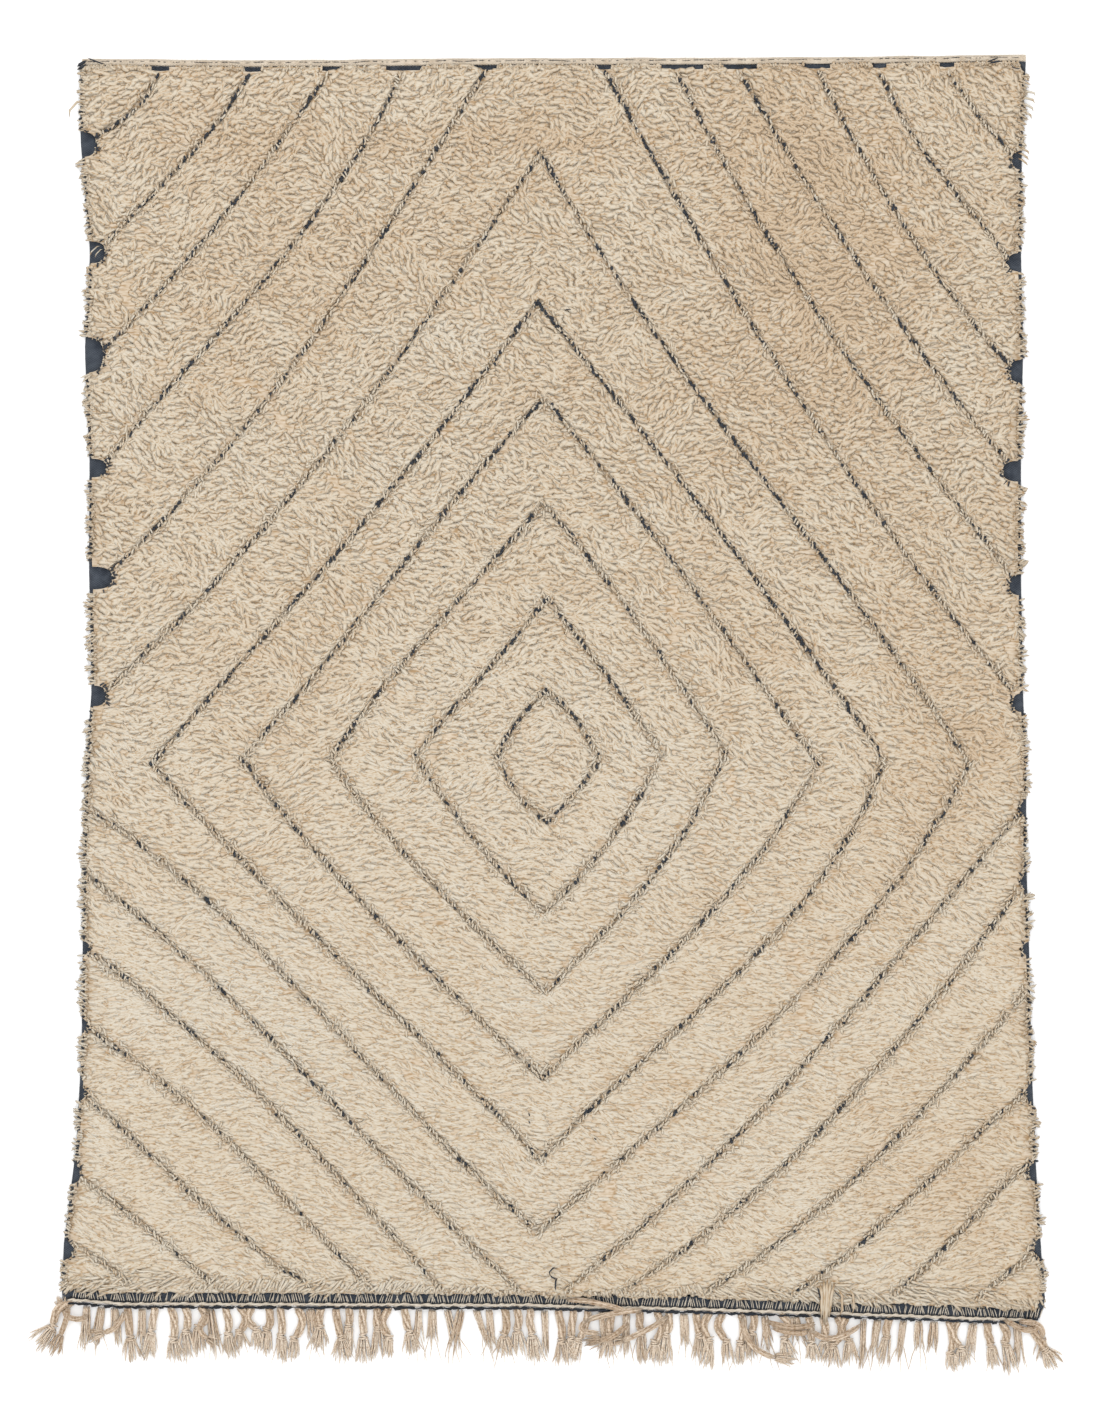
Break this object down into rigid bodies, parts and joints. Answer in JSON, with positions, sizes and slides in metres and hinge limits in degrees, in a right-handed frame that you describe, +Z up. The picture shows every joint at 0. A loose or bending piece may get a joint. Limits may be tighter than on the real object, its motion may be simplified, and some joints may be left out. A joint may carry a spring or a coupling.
{
  "type": "beni ourain rug",
  "caption": "Cream shag rug with concentric diamond lines bared in the pile, a flat band along the top, and a twined cord and knotted fringe along the bottom.",
  "frame": {"origin": "middle of the rug's bounding box, on the floor that it lies on", "axes": "+Y along the rug towards its top band, away from the fringe; +X to the right seen from above; +Z up out of the pile"},
  "size_m": [1.9288, 2.5272, 0.0269],
  "materials": {
    "navy_wool": "dark navy wool, flat woven, matte",
    "cream_pile": "cream wool shag, undyed and uneven in tone, matte",
    "cream_band": "cream wool, flat woven, matte",
    "cream_cord": "cream twined wool cord, matte",
    "fringe_wool": "pinkish beige spun wool, matte"
  },
  "bodies": {
    "root": {"ground_weave": "navy_wool", "pile": "cream_pile", "top_band": "cream_band", "bottom_cord": "cream_cord", "fringe": "fringe_wool"}
  },
  "joints": []
}
